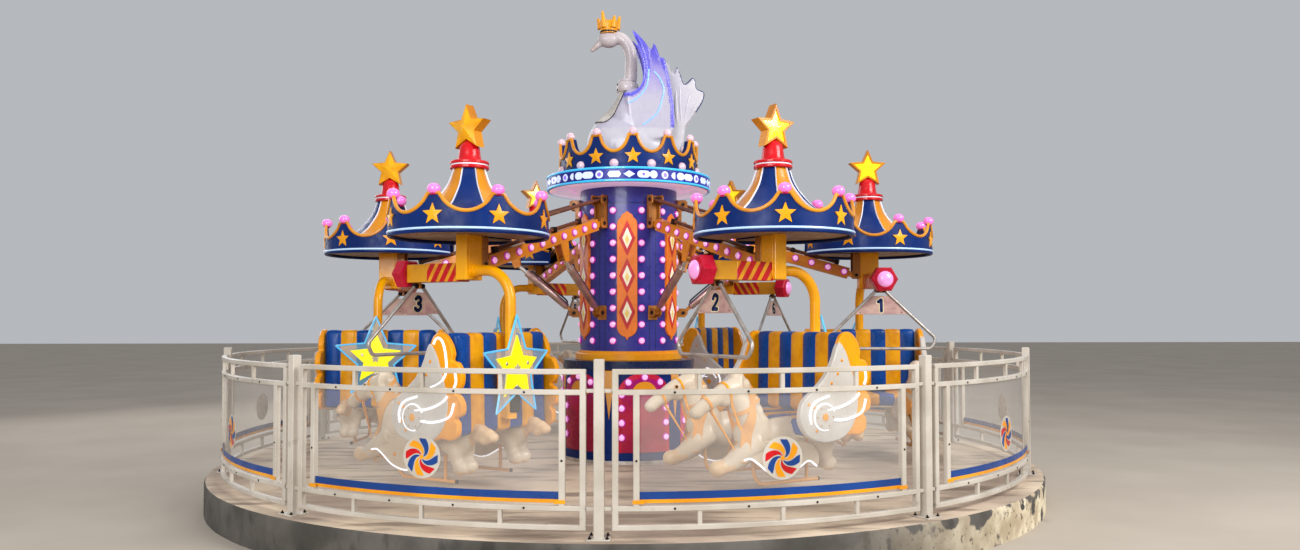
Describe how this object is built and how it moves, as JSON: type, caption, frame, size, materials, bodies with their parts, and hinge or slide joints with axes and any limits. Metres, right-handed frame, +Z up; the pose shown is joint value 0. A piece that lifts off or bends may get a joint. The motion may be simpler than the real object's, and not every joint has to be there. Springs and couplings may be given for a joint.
{
  "type": "chair swing ride",
  "caption": "Fairground ride: canopied double seats with winged ponies on lifting arms round a lit mast with a swan, on a round fenced plinth.",
  "frame": {"origin": "centre of the round plinth's underside, on the ground", "axes": "+Z up; -Y is the front of the ride as it is pictured; +X is to the right of it"},
  "size_m": [7.9, 7.9, 4.85],
  "materials": {
    "concrete": "weathered cement, stained",
    "white_paint": "gloss white paint, lightly worn",
    "navy_paint": "gloss navy paint",
    "crimson_panel": "gloss crimson",
    "gold_paint": "gloss gold-orange paint",
    "yellow_paint": "gloss yellow paint",
    "red_paint": "gloss red paint",
    "sky_paint": "gloss light blue paint",
    "brown_paint": "dull brown paint, rusted",
    "swan_shell": "pearl white gel coat",
    "cream_shell": "cream gel coat",
    "gold_shell": "gold gel coat",
    "blue_vinyl": "gloss upholstery vinyl",
    "gold_vinyl": "gloss upholstery vinyl",
    "steel": "bright steel, smeared",
    "dark_steel": "dark oiled steel",
    "chrome": "polished",
    "pink_bulb": "lit lamp cap",
    "warm_light": "lit yellow face",
    "neon_white": "lit white tube",
    "neon_blue": "lit violet-blue tube",
    "neon_cyan": "lit cyan tube",
    "clear_acrylic": "clear sheet, dusty",
    "blue_acrylic": "clear sheet with a lit blue edge",
    "plate_wood": "faded pinkish grain",
    "black_rubber": "matt"
  },
  "bodies": {
    "root": {"plinth": "concrete", "base_drum": "crimson_panel", "fence_bays_1_2": "white_paint", "fence_bays_3_4": "white_paint", "fence_bays_5_6": "white_paint", "fence_bays_7_8": "white_paint", "fence_bays_9_10": "white_paint"},
    "mast": {"mast_column": "navy_paint", "top_crown": "navy_paint", "swan": "swan_shell"},
    "arm_1": {"arm_1": "gold_paint"},
    "link_1": {"link_1": "dark_steel"},
    "ram_tube_1": {"ram_tube_1": "steel"},
    "ram_rod_1": {"ram_rod_1": "chrome"},
    "gondola_1": {"hanger_1": "yellow_paint", "canopy_1": "navy_paint", "carriage_1": "cream_shell"},
    "lap_bar_1": {"lap_bar_1": "steel"},
    "arm_2": {"arm_2": "gold_paint"},
    "link_2": {"link_2": "dark_steel"},
    "ram_tube_2": {"ram_tube_2": "steel"},
    "ram_rod_2": {"ram_rod_2": "chrome"},
    "gondola_2": {"hanger_2": "yellow_paint", "canopy_2": "navy_paint", "carriage_2": "cream_shell"},
    "lap_bar_2": {"lap_bar_2": "steel"},
    "arm_3": {"arm_3": "gold_paint"},
    "link_3": {"link_3": "dark_steel"},
    "ram_tube_3": {"ram_tube_3": "steel"},
    "ram_rod_3": {"ram_rod_3": "chrome"},
    "gondola_3": {"hanger_3": "yellow_paint", "canopy_3": "navy_paint", "carriage_3": "cream_shell"},
    "lap_bar_3": {"lap_bar_3": "steel"},
    "arm_4": {"arm_4": "gold_paint"},
    "link_4": {"link_4": "dark_steel"},
    "ram_tube_4": {"ram_tube_4": "steel"},
    "ram_rod_4": {"ram_rod_4": "chrome"},
    "gondola_4": {"hanger_4": "yellow_paint", "canopy_4": "navy_paint", "carriage_4": "cream_shell"},
    "lap_bar_4": {"lap_bar_4": "steel"},
    "arm_5": {"arm_5": "gold_paint"},
    "link_5": {"link_5": "dark_steel"},
    "ram_tube_5": {"ram_tube_5": "steel"},
    "ram_rod_5": {"ram_rod_5": "chrome"},
    "gondola_5": {"hanger_5": "yellow_paint", "canopy_5": "navy_paint", "carriage_5": "cream_shell"},
    "lap_bar_5": {"lap_bar_5": "steel"},
    "arm_6": {"arm_6": "gold_paint"},
    "link_6": {"link_6": "dark_steel"},
    "ram_tube_6": {"ram_tube_6": "steel"},
    "ram_rod_6": {"ram_rod_6": "chrome"},
    "gondola_6": {"hanger_6": "yellow_paint", "canopy_6": "navy_paint", "carriage_6": "cream_shell"},
    "lap_bar_6": {"lap_bar_6": "steel"}
  },
  "joints": [
    {"name": "mast_spin", "type": "hinge", "parent": "root", "child": "mast", "pos_m": [0, 0, 1.25], "axis": [0, 0, 1], "continuous": true},
    {"name": "arm_lift_1", "type": "hinge", "parent": "mast", "child": "arm_1", "pos_m": [0.2629, -0.49445, 2.595], "axis": [-0.8829, -0.4695, 0], "range_deg": [0, 30]},
    {"name": "gondola_level_1", "type": "hinge", "parent": "arm_1", "child": "gondola_1", "pos_m": [1.09387, -2.05727, 2.105], "axis": [-0.8829, -0.4695, 0], "range_deg": [-30, 0]},
    {"name": "link_swing_1", "type": "hinge", "parent": "mast", "child": "link_1", "pos_m": [0.2629, -0.49445, 2.83], "axis": [-0.8829, -0.4695, 0], "range_deg": [0, 30]},
    {"name": "ram_tilt_1", "type": "hinge", "parent": "mast", "child": "ram_tube_1", "pos_m": [0.2629, -0.49445, 1.72], "axis": [-0.8829, -0.4695, 0], "range_deg": [0, 10.16]},
    {"name": "ram_stroke_1", "type": "slide", "parent": "ram_tube_1", "child": "ram_rod_1", "axis": [0.3582, -0.6736, 0.6465], "range_m": [0, 0.3233]},
    {"name": "lap_bar_swing_1", "type": "hinge", "parent": "gondola_1", "child": "lap_bar_1", "pos_m": [0.66928, -2.43026, 1.932], "axis": [-0.4695, 0.8829, 0], "range_deg": [0, 48]},
    {"name": "arm_lift_2", "type": "hinge", "parent": "mast", "child": "arm_2", "pos_m": [0.55966, -0.01954, 2.595], "axis": [-0.0349, -0.9994, 0], "range_deg": [0, 30]},
    {"name": "gondola_level_2", "type": "hinge", "parent": "arm_2", "child": "gondola_2", "pos_m": [2.32858, -0.08132, 2.105], "axis": [-0.0349, -0.9994, 0], "range_deg": [-30, 0]},
    {"name": "link_swing_2", "type": "hinge", "parent": "mast", "child": "link_2", "pos_m": [0.55966, -0.01954, 2.83], "axis": [-0.0349, -0.9994, 0], "range_deg": [0, 30]},
    {"name": "ram_tilt_2", "type": "hinge", "parent": "mast", "child": "ram_tube_2", "pos_m": [0.55966, -0.01954, 1.72], "axis": [-0.0349, -0.9994, 0], "range_deg": [0, 10.16]},
    {"name": "ram_stroke_2", "type": "slide", "parent": "ram_tube_2", "child": "ram_rod_2", "axis": [0.7624, -0.0266, 0.6465], "range_m": [0, 0.3233]},
    {"name": "lap_bar_swing_2", "type": "hinge", "parent": "gondola_2", "child": "lap_bar_2", "pos_m": [2.43931, -0.63552, 1.932], "axis": [-0.9994, 0.0349, 0], "range_deg": [0, 48]},
    {"name": "arm_lift_3", "type": "hinge", "parent": "mast", "child": "arm_3", "pos_m": [0.29675, 0.47491, 2.595], "axis": [0.848, -0.5299, 0], "range_deg": [0, 30]},
    {"name": "gondola_level_3", "type": "hinge", "parent": "arm_3", "child": "gondola_3", "pos_m": [1.23471, 1.97595, 2.105], "axis": [0.848, -0.5299, 0], "range_deg": [-30, 0]},
    {"name": "link_swing_3", "type": "hinge", "parent": "mast", "child": "link_3", "pos_m": [0.29675, 0.47491, 2.83], "axis": [0.848, -0.5299, 0], "range_deg": [0, 30]},
    {"name": "ram_tilt_3", "type": "hinge", "parent": "mast", "child": "ram_tube_3", "pos_m": [0.29675, 0.47491, 1.72], "axis": [0.848, -0.5299, 0], "range_deg": [0, 10.16]},
    {"name": "ram_stroke_3", "type": "slide", "parent": "ram_tube_3", "child": "ram_rod_3", "axis": [0.4043, 0.647, 0.6465], "range_m": [0, 0.3233]},
    {"name": "lap_bar_swing_3", "type": "hinge", "parent": "gondola_3", "child": "lap_bar_3", "pos_m": [1.77003, 1.79474, 1.932], "axis": [-0.5299, -0.848, 0], "range_deg": [0, 48]},
    {"name": "arm_lift_4", "type": "hinge", "parent": "mast", "child": "arm_4", "pos_m": [-0.2629, 0.49445, 2.595], "axis": [0.8829, 0.4695, 0], "range_deg": [0, 30]},
    {"name": "gondola_level_4", "type": "hinge", "parent": "arm_4", "child": "gondola_4", "pos_m": [-1.09387, 2.05727, 2.105], "axis": [0.8829, 0.4695, 0], "range_deg": [-30, 0]},
    {"name": "link_swing_4", "type": "hinge", "parent": "mast", "child": "link_4", "pos_m": [-0.2629, 0.49445, 2.83], "axis": [0.8829, 0.4695, 0], "range_deg": [0, 30]},
    {"name": "ram_tilt_4", "type": "hinge", "parent": "mast", "child": "ram_tube_4", "pos_m": [-0.2629, 0.49445, 1.72], "axis": [0.8829, 0.4695, 0], "range_deg": [0, 10.16]},
    {"name": "ram_stroke_4", "type": "slide", "parent": "ram_tube_4", "child": "ram_rod_4", "axis": [-0.3582, 0.6736, 0.6465], "range_m": [0, 0.3233]},
    {"name": "lap_bar_swing_4", "type": "hinge", "parent": "gondola_4", "child": "lap_bar_4", "pos_m": [-0.66928, 2.43026, 1.932], "axis": [0.4695, -0.8829, 0], "range_deg": [0, 48]},
    {"name": "arm_lift_5", "type": "hinge", "parent": "mast", "child": "arm_5", "pos_m": [-0.55966, 0.01954, 2.595], "axis": [0.0349, 0.9994, 0], "range_deg": [0, 30]},
    {"name": "gondola_level_5", "type": "hinge", "parent": "arm_5", "child": "gondola_5", "pos_m": [-2.32858, 0.08132, 2.105], "axis": [0.0349, 0.9994, 0], "range_deg": [-30, 0]},
    {"name": "link_swing_5", "type": "hinge", "parent": "mast", "child": "link_5", "pos_m": [-0.55966, 0.01954, 2.83], "axis": [0.0349, 0.9994, 0], "range_deg": [0, 30]},
    {"name": "ram_tilt_5", "type": "hinge", "parent": "mast", "child": "ram_tube_5", "pos_m": [-0.55966, 0.01954, 1.72], "axis": [0.0349, 0.9994, 0], "range_deg": [0, 10.16]},
    {"name": "ram_stroke_5", "type": "slide", "parent": "ram_tube_5", "child": "ram_rod_5", "axis": [-0.7624, 0.0266, 0.6465], "range_m": [0, 0.3233]},
    {"name": "lap_bar_swing_5", "type": "hinge", "parent": "gondola_5", "child": "lap_bar_5", "pos_m": [-2.43931, 0.63552, 1.932], "axis": [0.9994, -0.0349, 0], "range_deg": [0, 48]},
    {"name": "arm_lift_6", "type": "hinge", "parent": "mast", "child": "arm_6", "pos_m": [-0.29675, -0.47491, 2.595], "axis": [-0.848, 0.5299, 0], "range_deg": [0, 30]},
    {"name": "gondola_level_6", "type": "hinge", "parent": "arm_6", "child": "gondola_6", "pos_m": [-1.23471, -1.97595, 2.105], "axis": [-0.848, 0.5299, 0], "range_deg": [-30, 0]},
    {"name": "link_swing_6", "type": "hinge", "parent": "mast", "child": "link_6", "pos_m": [-0.29675, -0.47491, 2.83], "axis": [-0.848, 0.5299, 0], "range_deg": [0, 30]},
    {"name": "ram_tilt_6", "type": "hinge", "parent": "mast", "child": "ram_tube_6", "pos_m": [-0.29675, -0.47491, 1.72], "axis": [-0.848, 0.5299, 0], "range_deg": [0, 10.16]},
    {"name": "ram_stroke_6", "type": "slide", "parent": "ram_tube_6", "child": "ram_rod_6", "axis": [-0.4043, -0.647, 0.6465], "range_m": [0, 0.3233]},
    {"name": "lap_bar_swing_6", "type": "hinge", "parent": "gondola_6", "child": "lap_bar_6", "pos_m": [-1.77003, -1.79474, 1.932], "axis": [0.5299, 0.848, 0], "range_deg": [0, 48]}
  ],
  "couplings": [
    {"joint": "gondola_level_1", "follows": "arm_lift_1", "ratio": -1},
    {"joint": "link_swing_1", "follows": "arm_lift_1", "ratio": 1},
    {"joint": "ram_tilt_1", "follows": "arm_lift_1", "ratio": 0.3384},
    {"joint": "ram_stroke_1", "follows": "arm_lift_1", "m_per_rad": 0.6171},
    {"joint": "gondola_level_2", "follows": "arm_lift_2", "ratio": -1},
    {"joint": "link_swing_2", "follows": "arm_lift_2", "ratio": 1},
    {"joint": "ram_tilt_2", "follows": "arm_lift_2", "ratio": 0.3384},
    {"joint": "ram_stroke_2", "follows": "arm_lift_2", "m_per_rad": 0.6171},
    {"joint": "gondola_level_3", "follows": "arm_lift_3", "ratio": -1},
    {"joint": "link_swing_3", "follows": "arm_lift_3", "ratio": 1},
    {"joint": "ram_tilt_3", "follows": "arm_lift_3", "ratio": 0.3384},
    {"joint": "ram_stroke_3", "follows": "arm_lift_3", "m_per_rad": 0.6171},
    {"joint": "gondola_level_4", "follows": "arm_lift_4", "ratio": -1},
    {"joint": "link_swing_4", "follows": "arm_lift_4", "ratio": 1},
    {"joint": "ram_tilt_4", "follows": "arm_lift_4", "ratio": 0.3384},
    {"joint": "ram_stroke_4", "follows": "arm_lift_4", "m_per_rad": 0.6171},
    {"joint": "gondola_level_5", "follows": "arm_lift_5", "ratio": -1},
    {"joint": "link_swing_5", "follows": "arm_lift_5", "ratio": 1},
    {"joint": "ram_tilt_5", "follows": "arm_lift_5", "ratio": 0.3384},
    {"joint": "ram_stroke_5", "follows": "arm_lift_5", "m_per_rad": 0.6171},
    {"joint": "gondola_level_6", "follows": "arm_lift_6", "ratio": -1},
    {"joint": "link_swing_6", "follows": "arm_lift_6", "ratio": 1},
    {"joint": "ram_tilt_6", "follows": "arm_lift_6", "ratio": 0.3384},
    {"joint": "ram_stroke_6", "follows": "arm_lift_6", "m_per_rad": 0.6171}
  ]
}
